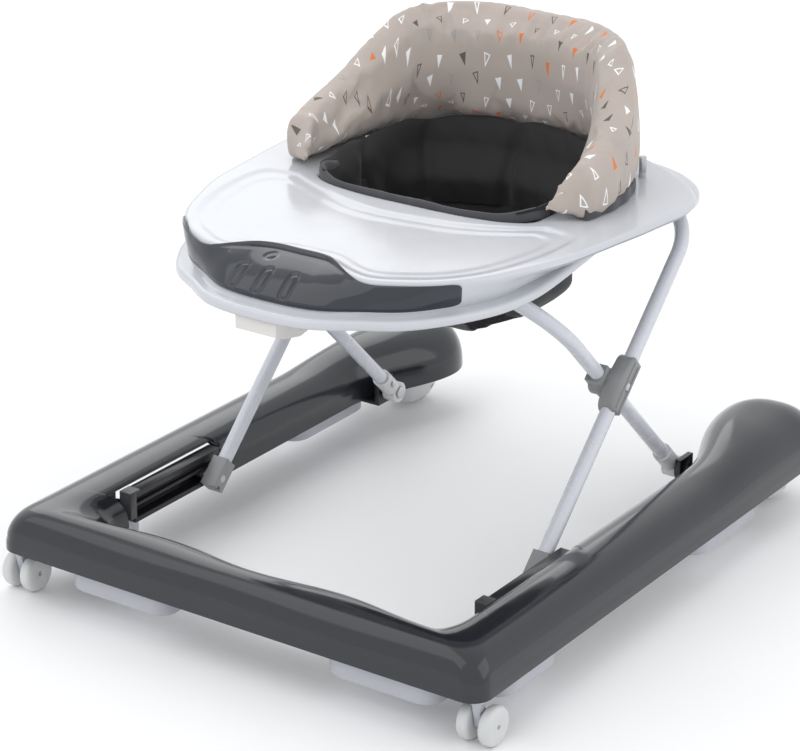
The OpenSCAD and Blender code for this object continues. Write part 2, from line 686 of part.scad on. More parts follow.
// The seat hangs in the opening as a sling with two leg holes beside a crotch strap.
sling_t = 4;
function sling_r(a, k) = let (r = min(open_r(a) - 5, 161))
    [r * (1 - 0.05 * k) * (k < 0.6 ? 1 : 1 - 0.75 * pow((k - 0.6) / 0.4, 2)),
     tray_z - 8 - k * (tray_z - 8 - seat_z)];
sling_shift = 30;
function sling_at(a, k, inset, lift) = let (p = sling_r(a, k))
    tray_at(a, p[0] - inset, p[1] + lift) + [0, sling_shift * smooth(k), 0];
sling_steps = [0, 0.12, 0.3, 0.45, 0.6, 0.72, 0.82, 0.9, 0.96, 1];
function sling_ring(a) = concat(
    [for (k = sling_steps) sling_at(a, k, 0, 0)],
    [tray_at(a, 1.5, seat_z) + [0, sling_shift, 0], tray_at(a, 1.5, seat_z + sling_t) + [0, sling_shift, 0]],
    [for (i = [len(sling_steps) - 1:-1:0]) sling_at(a, sling_steps[i], sling_t, i > 4 ? sling_t : 0)]);

module seat_sling() color(lining_black) placed() difference() {
    ring_skin([for (a = [0:10:350]) sling_ring(a)], true);
    for (x = [-58, 58]) translate([x, 395, seat_z - 20]) cylinder(h = 75, r = 36, $fn = round_fn);
}

function binding_ring(a) = [for (p = [[-4.5, -7], [-0.6, -7], [-0.6, 4.5], [-4.5, 4.5]])
    tray_at(a, open_r(a) + p[0], tray_z + p[1])];
binding_end = 70;
module seat_binding() color(binding_grey) placed()
    ring_skin([for (a = [-binding_end:5:binding_end]) binding_ring(a)], false);

module backrest_clips() color(tray_white) placed() for (x = [-151.5, 151.5])
    translate([x, 533, tray_z + 0.1]) {
        cylinder(h = 22, r = 4, $fn = round_fn);
        translate([0, 0, 14]) rotate([0, 90, 40 * sign(x)]) cylinder(h = 5, r = 9, center = true, $fn = round_fn);
    }

base_shell();
pad_front_left();
pad_front_right();
pad_side_front_left();
pad_side_front_right();
pad_side_rear_left();
pad_side_rear_right();
base_screws();
slide_rail_left();
slide_rail_right();
rail_stop_left();
rail_stop_right();
pivot_bracket_left();
pivot_bracket_right();
pivot_pins();
rear_housing_left();
rear_housing_right();
rear_axles();
rear_wheel_left();
rear_wheel_right();
caster_socket_left();
caster_socket_right();
caster_fork_left();
caster_fork_right();
caster_axle_left();
caster_axle_right();
caster_disc_left_outer();
caster_disc_left_inner();
caster_disc_right_outer();
caster_disc_right_inner();
pivot_frame_tube();
frame_foot_left();
frame_foot_right();
foot_screws();
crossing_sleeve_left();
crossing_sleeve_right();
slide_frame_tube();
slide_cap_left();
slide_cap_right();
slide_pins();
crossing_cover_left();
crossing_cover_right();
crossing_rivets();
tray_top();
front_panel();
latch_housing();
latch_lever();
latch_pin();
front_guide_left();
front_guide_right();
rear_bracket_left();
rear_bracket_right();
tray_screws();
backrest_board();
backrest_pad();
seat_sling();
seat_binding();
backrest_clips();
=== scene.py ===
"""Looks of a baby walker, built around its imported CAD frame."""
import math

import bmesh
import bpy
import numpy as np
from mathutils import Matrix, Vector


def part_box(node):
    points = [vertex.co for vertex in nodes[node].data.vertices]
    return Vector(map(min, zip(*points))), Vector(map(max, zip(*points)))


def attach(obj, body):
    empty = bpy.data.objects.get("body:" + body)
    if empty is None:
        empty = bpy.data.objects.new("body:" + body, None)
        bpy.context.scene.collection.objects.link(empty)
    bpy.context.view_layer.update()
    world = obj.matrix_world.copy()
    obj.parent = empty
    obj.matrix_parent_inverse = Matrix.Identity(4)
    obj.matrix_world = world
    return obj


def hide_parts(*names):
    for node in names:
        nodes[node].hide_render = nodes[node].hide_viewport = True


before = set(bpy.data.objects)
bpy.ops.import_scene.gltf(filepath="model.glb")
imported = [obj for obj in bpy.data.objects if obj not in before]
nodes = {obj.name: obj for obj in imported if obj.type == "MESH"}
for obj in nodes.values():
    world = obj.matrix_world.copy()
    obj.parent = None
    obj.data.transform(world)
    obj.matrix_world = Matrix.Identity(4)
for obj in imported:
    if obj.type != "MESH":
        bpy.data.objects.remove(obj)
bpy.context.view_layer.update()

# Shapes are worked out in millimetres from the front of the base, with y towards its
# rear, and then moved to the row frame, whose origin is in the middle of the base.
MM = 0.001
BASE_LOW, BASE_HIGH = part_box("base_shell")
FRONT_Y = BASE_LOW.y
BASE_L = (BASE_HIGH.y - BASE_LOW.y) / MM
HALF_W = BASE_HIGH.x / MM
BASE_Z = BASE_LOW.z / MM


def to_row(points):
    """Points in millimetres from the base's front, as metres in the row frame."""
    out = np.asarray(points, float) * MM
    out[..., 1] += FRONT_Y
    return out


def smooth(t):
    u = np.clip(t, 0, 1)
    return u * u * (3 - 2 * u)


def through(table, wrap=False):
    """A smooth curve through a table of (x, y), as a function of x. With wrap, x is an
    angle in degrees from 0 to 180 and the curve is mirrored on both sides."""
    pts = sorted(table)
    if wrap:
        pts = ([(-x, y) for x, y in reversed(pts) if 0 < x < 180] + pts
               + [(360 - x, y) for x, y in reversed(pts) if 0 < x < 180])
    xs = np.array([p[0] for p in pts], float)
    ys = np.array([p[1] for p in pts], float)
    h = np.diff(xs)
    d = np.diff(ys) / h
    slope = np.zeros(len(xs))
    slope[0], slope[-1] = d[0], d[-1]
    slope[1:-1] = (d[:-1] * h[1:] + d[1:] * h[:-1]) / (h[:-1] + h[1:])

    def value(x):
        x = np.asarray(x, float)
        if wrap:
            x = np.abs((x + 180) % 360 - 180)
        x = np.clip(x, xs[0], xs[-1])
        i = np.clip(np.searchsorted(xs, x) - 1, 0, len(h) - 1)
        t = (x - xs[i]) / h[i]
        a, b = ys[i], ys[i + 1]
        return (a * (1 + 2 * t) * (1 - t) ** 2 + b * t * t * (3 - 2 * t)
                + h[i] * t * (1 - t) * (slope[i] * (1 - t) - slope[i + 1] * t))
    return value


def add_mesh(name, verts, faces, material, smooth_angle=40):
    """A new mesh object from points in the row frame."""
    mesh = bpy.data.meshes.new(name)
    mesh.from_pydata([tuple(v) for v in verts], [], [tuple(f) for f in faces])
    mesh.validate()
    mesh.update()
    obj = bpy.data.objects.new(name, mesh)
    bpy.context.scene.collection.objects.link(obj)
    mesh.materials.append(material)
    shade(mesh, smooth_angle)
    return obj


def shade(mesh, angle):
    mesh.polygons.foreach_set("use_smooth", [True] * len(mesh.polygons))
    mesh.set_sharp_from_angle(angle=math.radians(angle))


def add_grid(name, grid, material, close_rows=False, close_cols=False, caps=False, angle=40):
    """A skin over a grid of points (rows, columns, 3) in millimetres."""
    rows, cols = grid.shape[:2]
    verts = to_row(grid).reshape(-1, 3)
    faces = []
    for i in range(rows if close_rows else rows - 1):
        for j in range(cols if close_cols else cols - 1):
            k, m = (i + 1) % rows, (j + 1) % cols
            faces.append((i * cols + j, k * cols + j, k * cols + m, i * cols + m))
    if caps:
        for j in range(cols // 2 - 1):
            m = cols - 1 - j
            faces.append((j, j + 1, m - 1, m))
            far = (rows - 1) * cols
            faces.append((far + m, far + m - 1, far + j + 1, far + j))
    obj = add_mesh(name, verts, faces, material, angle)
    recalculate_normals(obj)
    return obj


def recalculate_normals(obj):
    bm = bmesh.new()
    bm.from_mesh(obj.data)
    bmesh.ops.recalc_face_normals(bm, faces=bm.faces)
    bm.to_mesh(obj.data)
    bm.free()


def read_vertices(mesh, what):
    """One vector for each vertex: its place, "co", or its "normal"."""
    out = np.zeros(len(mesh.vertices) * 3)
    mesh.vertices.foreach_get(what, out)
    return out.reshape(-1, 3)


def subdivide(obj):
    """One level of subdivision, left on the piece as a modifier."""
    detail = obj.modifiers.new("detail", "SUBSURF")
    detail.levels = detail.render_levels = 1


def apply_modifier(obj, name):
    bpy.context.view_layer.objects.active = obj
    obj.select_set(True)
    bpy.ops.object.modifier_apply(modifier=name)


def unit(vector):
    return vector / np.linalg.norm(vector)


# ---- Materials ----

def new_material(name):
    mat = bpy.data.materials.new(name)
    mat.use_nodes = True
    tree = mat.node_tree
    return mat, tree, tree.nodes["Principled BSDF"]


def node(tree, kind, **values):
    made = tree.nodes.new(kind)
    for key, value in values.items():
        setattr(made, key, value)
    return made


def noise(tree, scale, detail=4, roughness=0.55):
    coords = node(tree, "ShaderNodeTexCoord")
    tex = node(tree, "ShaderNodeTexNoise")
    tex.inputs["Scale"].default_value = scale
    tex.inputs["Detail"].default_value = detail
    tex.inputs["Roughness"].default_value = roughness
    tree.links.new(coords.outputs["Object"], tex.inputs["Vector"])
    return tex.outputs["Fac"]


def ramp(tree, source, stops, interpolation="LINEAR"):
    made = node(tree, "ShaderNodeValToRGB")
    made.color_ramp.interpolation = interpolation
    while len(made.color_ramp.elements) < len(stops):
        made.color_ramp.elements.new(0.5)
    for element, (place, color) in zip(made.color_ramp.elements, stops):
        element.position = place
        element.color = (*color, 1)
    tree.links.new(source, made.inputs["Fac"])
    return made.outputs["Color"]


def bump(tree, bsdf, height, strength, distance):
    made = node(tree, "ShaderNodeBump")
    made.inputs["Strength"].default_value = strength
    made.inputs["Distance"].default_value = distance
    tree.links.new(height, made.inputs["Height"])
    tree.links.new(made.outputs["Normal"], bsdf.inputs["Normal"])


def tone(color, k):
    return tuple(min(1, c * k) for c in color)


# Noise scales, in patches to the metre, and depths of the finest relief, in metres
FLOW_MARKS = 9
SCUFF_SPOTS = 38
METAL_SPANGLE = 60
METAL_BRUSH = 180
METAL_GRAIN = 1500
METAL_GRAIN_DEPTH = 0.00003
CLOTH_SHADE = 14
PRINT_SHADE = 16
CLOTH_SLUBS = 300
CLOTH_DEPTH = 0.00012
PRINT_WRINKLES = 55
PRINT_DEPTH = 0.00022


def plastic(name, color, rough, grain=900, grain_depth=0.00004, mottle=0.04, coat=0.0, scuffs=0.0):
    """Moulded plastic: faint flow marks, a fine grain and, on glossy parts, scuffs."""
    mat, tree, bsdf = new_material(name)
    shades = [(0.3, tone(color, 1 - mottle)), (0.7, tone(color, 1 + mottle))]
    tree.links.new(ramp(tree, noise(tree, FLOW_MARKS, 3), shades), bsdf.inputs["Base Color"])
    low, high = rough * 0.85, rough * 1.2 + scuffs
    gloss = [(0.42, (low,) * 3), (0.78, (high,) * 3)]
    tree.links.new(ramp(tree, noise(tree, SCUFF_SPOTS, 6, 0.7), gloss), bsdf.inputs["Roughness"])
    bsdf.inputs["Coat Weight"].default_value = coat
    bsdf.inputs["Coat Roughness"].default_value = 0.06
    bsdf.inputs["IOR"].default_value = 1.49
    bump(tree, bsdf, noise(tree, grain, 3), 0.35, grain_depth)
    return mat


def metal(name, color, rough):
    """Zinc-plated steel, with a faint spangle and a fine brushed grain."""
    mat, tree, bsdf = new_material(name)
    bsdf.inputs["Metallic"].default_value = 1.0
    shades = [(0.3, tone(color, 0.8)), (0.75, tone(color, 1.1))]
    tree.links.new(ramp(tree, noise(tree, METAL_SPANGLE, 5), shades), bsdf.inputs["Base Color"])
    gloss = [(0.3, (rough * 0.8,) * 3), (0.8, (rough * 1.4,) * 3)]
    tree.links.new(ramp(tree, noise(tree, METAL_BRUSH, 4), gloss), bsdf.inputs["Roughness"])
    bump(tree, bsdf, noise(tree, METAL_GRAIN, 2), 0.25, METAL_GRAIN_DEPTH)
    return mat


def math_node(tree, operation, a, b=None):
    made = node(tree, "ShaderNodeMath", operation=operation)
    for socket, value in zip(made.inputs, (a, b)):
        if value is None:
            continue
        if isinstance(value, (int, float)):
            socket.default_value = value
        else:
            tree.links.new(value, socket)
    return made.outputs[0]


def mix_color(tree, factor, a, b):
    made = node(tree, "ShaderNodeMix", data_type="RGBA")
    tree.links.new(factor, made.inputs["Factor"])
    for socket, value in (("A", a), ("B", b)):
        target = [s for s in made.inputs if s.name == socket and s.type == "RGBA"][0]
        if isinstance(value, tuple):
            target.default_value = (*value, 1)
        else:
            tree.links.new(value, target)
    return [s for s in made.outputs if s.type == "RGBA"][0]


def cloth_coords(tree):
    """Cloth coordinates in metres, along and up the cloth."""
    uv = node(tree, "ShaderNodeUVMap", uv_map="cloth")
    split = node(tree, "ShaderNodeSeparateXYZ")
    tree.links.new(uv.outputs["UV"], split.inputs["Vector"])
    return split.outputs["X"], split.outputs["Y"]


def weave_height(tree, s, t, pitch):
    """Over and under threads of a plain weave."""
    turns = 2 * math.pi / pitch
    a = math_node(tree, "SINE", math_node(tree, "MULTIPLY", s, turns))
    b = math_node(tree, "SINE", math_node(tree, "MULTIPLY", t, turns))
    return math_node(tree, "MULTIPLY", a, b)


def fabric(name, color, pitch, sheen, rough=0.85):
    """Plain woven cloth with uneven threads."""
    mat, tree, bsdf = new_material(name)
    s, t = cloth_coords(tree)
    weave = weave_height(tree, s, t, pitch)
    slub = noise(tree, CLOTH_SLUBS, 4)
    shades = [(0.3, tone(color, 0.9)), (0.7, tone(color, 1.08))]
    tree.links.new(ramp(tree, noise(tree, CLOTH_SHADE, 4), shades), bsdf.inputs["Base Color"])
    bsdf.inputs["Roughness"].default_value = rough
    bsdf.inputs["Sheen Weight"].default_value = sheen
    bsdf.inputs["Sheen Roughness"].default_value = 0.5
    bump(tree, bsdf, math_node(tree, "ADD", weave, slub), 0.4, CLOTH_DEPTH)
    return mat


# The print's cells, its triangles and their outlines, in metres
PRINT_CELL = 0.031
PRINT_ROW = 0.022
PRINT_WEAVE = 0.0009
TRIANGLE_HALF_H = 0.0069
TRIANGLE_HALF_W = 0.0034
TRIANGLE_SPREAD = 0.0014
TRIANGLE_TURN = 0.7
OUTLINE = 0.0012
INK_EDGE = 0.00025
HOLLOW_SHARE = 0.42
INKS = [(0.0, (0.93, 0.93, 0.94)), (0.30, (0.12, 0.105, 0.095)), (0.52, (0.72, 0.20, 0.045)),
        (0.72, (0.36, 0.36, 0.35)), (0.84, (0.93, 0.93, 0.94))]


def printed_fabric(name, color):
    """Greige cloth with a staggered print of narrow triangles that point down."""
    mat, tree, bsdf = new_material(name)
    s, t = cloth_coords(tree)

    def maths(operation, first, second=None):
        return math_node(tree, operation, first, second)

    def centred(value, amount):
        return maths("MULTIPLY", maths("SUBTRACT", value, 0.5), amount)

    def covered(distance, depth):
        """1 where the distance is further in than depth, softened over the ink's edge."""
        ratio = maths("DIVIDE", maths("SUBTRACT", -depth, distance), INK_EDGE)
        return maths("MINIMUM", 1.0, maths("MAXIMUM", 0.0, ratio))

    row = maths("DIVIDE", t, PRINT_ROW)
    row_id = maths("FLOOR", row)
    shift = maths("MULTIPLY", maths("FLOORED_MODULO", row_id, 2.0), 0.5)
    col = maths("ADD", maths("DIVIDE", s, PRINT_CELL), shift)
    cell = node(tree, "ShaderNodeCombineXYZ")
    tree.links.new(maths("FLOOR", col), cell.inputs["X"])
    tree.links.new(row_id, cell.inputs["Y"])
    lots = []
    for k in range(2):
        random = node(tree, "ShaderNodeTexWhiteNoise", noise_dimensions="3D")
        offset = node(tree, "ShaderNodeVectorMath", operation="ADD")
        offset.inputs[1].default_value = (0.5, 0.5, 3.7 * (k + 1))
        tree.links.new(cell.outputs["Vector"], offset.inputs[0])
        tree.links.new(offset.outputs["Vector"], random.inputs["Vector"])
        split = node(tree, "ShaderNodeSeparateColor")
        tree.links.new(random.outputs["Color"], split.inputs["Color"])
        lots += [split.outputs["Red"], split.outputs["Green"], split.outputs["Blue"]]
    kind, tilt, jitter_x, jitter_y, size = lots[:5]

    x = maths("ADD", centred(maths("FRACT", col), PRINT_CELL), centred(jitter_x, 0.006))
    y = maths("ADD", centred(maths("FRACT", row), PRINT_ROW), centred(jitter_y, 0.005))
    turn = centred(tilt, TRIANGLE_TURN)
    cos, sin = maths("COSINE", turn), maths("SINE", turn)
    px = maths("SUBTRACT", maths("MULTIPLY", x, cos), maths("MULTIPLY", y, sin))
    py = maths("ADD", maths("MULTIPLY", x, sin), maths("MULTIPLY", y, cos))
    half_w = maths("ADD", maths("MULTIPLY", size, TRIANGLE_SPREAD), TRIANGLE_HALF_W)
    # Distance from the slanted sides and from the top edge, negative inside
    up = maths("DIVIDE", maths("ADD", py, TRIANGLE_HALF_H), 2 * TRIANGLE_HALF_H)
    side = maths("SUBTRACT", maths("ABSOLUTE", px), maths("MULTIPLY", up, half_w))
    side = maths("MULTIPLY", side, 0.96)
    distance = maths("MAXIMUM", side, maths("SUBTRACT", py, TRIANGLE_HALF_H))
    hollow = maths("GREATER_THAN", maths("FRACT", maths("MULTIPLY", kind, 7.3)), HOLLOW_SHARE)
    paint = maths("SUBTRACT", covered(distance, 0.0),
                  maths("MULTIPLY", covered(distance, OUTLINE), hollow))
    shades = [(0.3, tone(color, 0.94)), (0.7, tone(color, 1.05))]
    cloth = ramp(tree, noise(tree, PRINT_SHADE, 4), shades)
    inks = ramp(tree, kind, INKS, "CONSTANT")
    tree.links.new(mix_color(tree, paint, cloth, inks), bsdf.inputs["Base Color"])
    bsdf.inputs["Roughness"].default_value = 0.82
    bsdf.inputs["Sheen Weight"].default_value = 0.25
    bsdf.inputs["Sheen Roughness"].default_value = 0.45
    weave = weave_height(tree, s, t, PRINT_WEAVE)
    wrinkles = maths("MULTIPLY", noise(tree, PRINT_WRINKLES, 4, 0.6), 5.0)
    bump(tree, bsdf, maths("ADD", weave, wrinkles), 0.35, PRINT_DEPTH)
    return mat


SLATE = (0.0155, 0.0172, 0.0215)
PANEL = (0.019, 0.023, 0.031)
WHITE = (0.555, 0.57, 0.60)
M_BASE = plastic("slate_gloss", SLATE, 0.16,
                 grain=500, grain_depth=0.00002, mottle=0.05, coat=0.25, scuffs=0.05)
M_PANEL = plastic("panel_gloss", PANEL, 0.10,
                  grain=500, grain_depth=0.00001, mottle=0.03, coat=0.25, scuffs=0.04)
M_TRAY = plastic("tray_gloss", WHITE, 0.19,
                 grain=400, grain_depth=0.00001, mottle=0.012, coat=0.12, scuffs=0.04)
M_TUBE = plastic("tube_paint", (0.60, 0.61, 0.66), 0.28,
                 grain=1400, grain_depth=0.00003, mottle=0.02, coat=0.3)
M_CLAMP = plastic("clamp_grey", (0.255, 0.258, 0.262), 0.48,
                  grain=1100, grain_depth=0.00008, mottle=0.05)
M_PAD = plastic("pad_grey", (0.46, 0.465, 0.51), 0.42, grain=900, grain_depth=0.00006, mottle=0.03)
M_CASTER = plastic("caster_white", (0.60, 0.61, 0.61), 0.36,
                   grain=900, grain_depth=0.00005, mottle=0.04, scuffs=0.12)
M_LATCH = plastic("latch_white", (0.70, 0.68, 0.655), 0.38,
                  grain=1000, grain_depth=0.00005, mottle=0.02)
M_RAIL = plastic("rail_black", (0.012, 0.012, 0.014), 0.35,
                 grain=900, grain_depth=0.00006, mottle=0.2)
M_DARK = plastic("stop_grey", (0.055, 0.055, 0.06), 0.42, grain=900, grain_depth=0.00006, mottle=0.1)
M_STEEL = metal("zinc_steel", (0.58, 0.58, 0.60), 0.32)
M_PRINT = printed_fabric("printed_cloth", (0.475, 0.412, 0.37))
M_LINING = fabric("black_lining", (0.0075, 0.0073, 0.009), pitch=0.0010, sheen=0.16, rough=0.7)
M_BINDING = fabric("grey_binding", (0.058, 0.058, 0.066), pitch=0.0013, sheen=0.25)


# ---- CAD nodes that are shown as they are ----

CAD_LOOKS = {
    "pad_": M_PAD, "base_screws": M_STEEL, "slide_rail": M_RAIL, "rail_stop": M_DARK,
    "pivot_bracket": M_RAIL, "pivot_pins": M_STEEL, "rear_housing": M_CASTER, "rear_axles": M_STEEL,
    "rear_wheel": M_PAD, "caster_socket": M_CASTER, "caster_fork": M_PAD, "caster_axle": M_STEEL,
    "caster_disc": M_CASTER, "frame_foot": M_CASTER, "foot_screws": M_STEEL,
    "crossing_sleeve": M_CLAMP, "crossing_cover": M_CLAMP, "crossing_rivets": M_STEEL,
    "slide_cap": M_CLAMP, "slide_pins": M_STEEL, "latch_housing": M_LATCH, "latch_lever": M_CLAMP,
    "latch_pin": M_STEEL, "front_guide": M_LATCH, "rear_bracket": M_LATCH, "tray_screws": M_STEEL,
    "backrest_board": M_CLAMP, "backrest_clips": M_TRAY,
}
for name, obj in nodes.items():
    looks = [m for prefix, m in CAD_LOOKS.items() if name.startswith(prefix)]
    if looks:
        obj.data.materials.clear()
        obj.data.materials.append(looks[0])
        shade(obj.data, 32)
        weld = obj.modifiers.new("weld", "WELD")
        weld.merge_threshold = 0.00001
        edge = obj.modifiers.new("edges", "BEVEL")
        edge.width = 0.0005
        edge.segments = 2
        edge.limit_method = "ANGLE"
        edge.angle_limit = math.radians(50)
        edge.harden_normals = True


# ---- Base shell ----

SHELL_H = 46
LOBE_H = 58
LOBE_R = 62
ARM_W = 81
WALL = 2.5
CORNER_R = 22
INNER_R = 34
ARM_IN = HALF_W - ARM_W
BAR_END = ARM_IN - INNER_R
LOBE_X = HALF_W - LOBE_R
LOBE_Y = BASE_L - LOBE_R
RAIL_LOW, RAIL_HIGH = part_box("slide_rail_right")
WINDOW_FRONT = (RAIL_LOW.y - FRONT_Y) / MM - 11
WINDOW_REAR = (RAIL_HIGH.y - FRONT_Y) / MM + 12
WINDOW_REACH = 0.61


def bar_inner(x):
    return 66 + 7 * (1 - math.cos(2 * math.pi * x / BAR_END))


def shell_stations():
    """Half of the shell's stations: outer point, inner point, height, reach and arm. Reach
    is how far the section goes inwards, and arm runs from 0 on the bar to 1 on the arms."""
    out = []
    for t in np.linspace(0, 1, 56)[:-1]:
        x = t * BAR_END
        out.append(((t * (HALF_W - CORNER_R), 0), (x, bar_inner(x)), SHELL_H, 1.0, 0.0))
    start = bar_inner(BAR_END) + INNER_R
    for a in np.radians(np.linspace(0, 90, 22)[:-1]):
        aside, back = 1 - math.sin(a), 1 - math.cos(a)
        out.append(((HALF_W - CORNER_R * aside, CORNER_R * back),
                    (ARM_IN - INNER_R * aside, bar_inner(BAR_END) + INNER_R * back),
                    SHELL_H, 1.0, float(smooth(math.degrees(a) / 90))))
    steps = list(np.linspace(start, LOBE_Y, 120))
    steps = sorted([y for y in steps if min(abs(y - WINDOW_FRONT), abs(y - WINDOW_REAR)) > 2]
                   + [WINDOW_FRONT - 0.6, WINDOW_FRONT, WINDOW_REAR, WINDOW_REAR + 0.6])
    for y in steps:
        swell = (2 * LOBE_R - ARM_W) * float(smooth((y - 520) / 150))
        rise = SHELL_H + (LOBE_H - SHELL_H) * float(smooth((y - 480) / 150))
        outer = CORNER_R + (y - start) * (LOBE_Y - CORNER_R) / (LOBE_Y - start)
        reach = WINDOW_REACH if WINDOW_FRONT <= y <= WINDOW_REAR else 1.0
        out.append(((HALF_W, outer), (ARM_IN - swell, y), rise, reach, 1.0))
    for b in np.radians(np.concatenate([np.linspace(4, 80, 24), [83.5, 86.5, 88.7]])):
        y = LOBE_Y + LOBE_R * math.sin(b)
        dome = (1 - math.sin(b) ** 2.5) ** 0.4
        out.append(((LOBE_X + LOBE_R * math.cos(b), y), (LOBE_X - LOBE_R * math.cos(b), y),
                    LOBE_H * dome, 1.0, 1.0))
    return out


def dome_height(c, arm):
    """Section of the shell: a rounded outer side, a crest and a flatter slope inwards.
    On the arms the inner side falls more steeply."""
    crest = -0.08 * (1 - arm) - 0.02
    outer = np.clip((crest - c) / (1 + crest), 0, 1)
    inner = np.clip((c - crest) / (1 - crest), 0, 1)
    z_out = (1 - outer ** 2.6) ** 0.42
    n = 1.75 * (1 - arm) + 2.5 * arm
    z_in = (1 - inner ** n) ** (0.52 * (1 - arm) + 0.4 * arm)
    return np.where(c < crest, z_out, z_in)


def build_base():
    half = shell_stations()
    full = [((-o[0], o[1]), (-i[0], i[1]), h, r, w) for o, i, h, r, w in half[:0:-1]] + half
    across = -np.cos(np.linspace(0, math.pi, 49))
    rings = []
    for o, i, height, reach, arm in full:
        o, i = np.array(o), np.array(i)
        mid, half_v = (o + i) / 2, (i - o) / 2
        width = np.linalg.norm(half_v)
        c = np.where(across > 0, across * reach, across)
        z = height * dome_height(c, arm)
        # a fine step runs round the outer side, above the bottom edge
        line = np.exp(-((z - 0.30 * height) / 1.3) ** 2) * (c < 0) * 0.7
        skin_in = max(0.05, 1 - WALL / width)
        skin_out = 1 - line / width
        top = np.stack([mid[0] + half_v[0] * c * skin_out, mid[1] + half_v[1] * c * skin_out,
                        BASE_Z + z], 1)
        low_h = max(height - WALL, 0.2 * height)
        under = np.stack([mid[0] + half_v[0] * c * skin_in, mid[1] + half_v[1] * c * skin_in,
                          BASE_Z + low_h * dome_height(c, arm)], 1)
        rings.append(np.concatenate([top, under[::-1]]))
    shell = add_grid("base_moulding", np.array(rings), M_BASE, close_cols=True, caps=True, angle=50)
    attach(shell, "base")
    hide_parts("base_shell")


build_base()


# ---- Frame tubes ----

LINK = 436
TUBE_R = 8
OPEN_ANGLE = math.radians(44.5)
PIVOT_Y, PIVOT_Z = 560, 65
SLIDE_Y = PIVOT_Y - LINK * math.cos(OPEN_ANGLE)


def tube_path(leg_x, start, bend):
    """Half of a bent frame's centre line in its own plane, then mirrored."""
    straight = LINK - bend
    pts = [(leg_x, start), (leg_x, start + 4)] + [(leg_x, y) for y in np.linspace(30, straight, 12)]
    pts += [(leg_x - bend * (1 - math.cos(a)), straight + bend * math.sin(a))
            for a in np.radians(np.linspace(4, 90, 22))]
    pts += [(x, LINK) for x in np.linspace((leg_x - bend) * 0.7, 0, 4)]
    return pts + [(-x, y) for x, y in pts[-2::-1]]


def build_tube(name, leg_x, start, bend, origin_y, rearward, body, cad):
    flat = np.array(tube_path(leg_x, start, bend))
    across = np.stack([flat[:, 0], rearward * flat[:, 1] * math.cos(OPEN_ANGLE) + origin_y,
                       flat[:, 1] * math.sin(OPEN_ANGLE) + PIVOT_Z], 1)
    normal = np.array([0, -rearward * math.sin(OPEN_ANGLE), math.cos(OPEN_ANGLE)])
    tangent = np.gradient(across, axis=0)
    tangent /= np.linalg.norm(tangent, axis=1)[:, None]
    side = np.cross(tangent, normal)
    turns = np.linspace(0, 2 * math.pi, 33)[:-1]
    rings = [p + TUBE_R * (np.outer(np.cos(turns), normal) + np.outer(np.sin(turns), s))
             for p, s in zip(across, side)]
    tube = add_grid(name, np.array(rings), M_TUBE, close_cols=True, caps=True, angle=60)
    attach(tube, body)
    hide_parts(cad)


build_tube("slide_tube", 206, -8, 60, SLIDE_Y, 1, "slide_frame", "slide_frame_tube")
build_tube("pivot_tube", 187, 14, 140, PIVOT_Y, -1, "pivot_frame", "pivot_frame_tube")


# ---- Tray ----

TRAY_Y = 380
TRAY_Z = 399
LIP = through([(0, 326), (11, 324), (19, 311), (27, 303), (35, 287), (45, 265), (55, 242),
               (68, 217), (80, 204), (92, 197), (102, 199), (111, 212), (119, 240), (126, 263),
               (134, 277), (143, 280), (157, 271), (180, 260)], wrap=True)
TOP = through([(0, 250), (9, 256), (14, 272), (18, 283), (27, 284), (35, 279), (42, 270),
               (52, 255), (63, 244), (75, 234), (84, 232), (93, 236), (101, 243), (110, 257),
               (117, 264), (124, 262), (137, 252), (157, 242), (180, 240)], wrap=True)
OPENING = through([(0, 60), (22, 65), (40, 78), (55, 99), (66, 122), (75, 137), (84, 136),
                   (98, 136.5), (112, 145), (124, 160), (135, 176), (146, 182), (160, 179),
                   (180, 176)], wrap=True)


def lip_z(a):
    return 357 + 17 * smooth((np.abs((a + 180) % 360 - 180) - 45) / 45)


def polar(a, r, z):
    ang = np.radians(a)
    return np.stack([r * np.sin(ang), TRAY_Y - r * np.cos(ang), z * np.ones_like(r)], -1)


def recess_depth(a, r):
    """How far the tray's surface is sunk at a polar place: a wide recess in front of the
    seat, with a second, shallower step inside it."""
    x, y = r * math.sin(math.radians(a)), TRAY_Y - r * math.cos(math.radians(a))
    rear = 287 + 50 * min(1.0, (x / 152) ** 2) - y + 1.5 * math.sin(x / 21) - 1.5
    side = 200 - abs(x)
    front = float(TOP(a)) - 15 - r
    near = min(rear, side, front)
    sharp = 11.0
    d = near - sharp * math.log(sum(math.exp(-(v - near) / sharp) for v in (rear, side, front)))
    return 2.1 * float(smooth(d / 8 + 0.5)) + 0.75 * float(smooth((d - 17) / 7 + 0.5))


def skirt_point(a, f):
    """A point on the tray's skirt, from its upper edge at f 0 to the lip's shelf at f 1."""
    top, shelf, low = TOP(a), LIP(a) - 16, lip_z(a) + 11
    bulge = 2.2 * math.sin(math.pi * min(1, max(0, f)))
    return top + f * (shelf - top) + bulge, TRAY_Z - 5 + f * (low - TRAY_Z + 5) + 0.4 * bulge


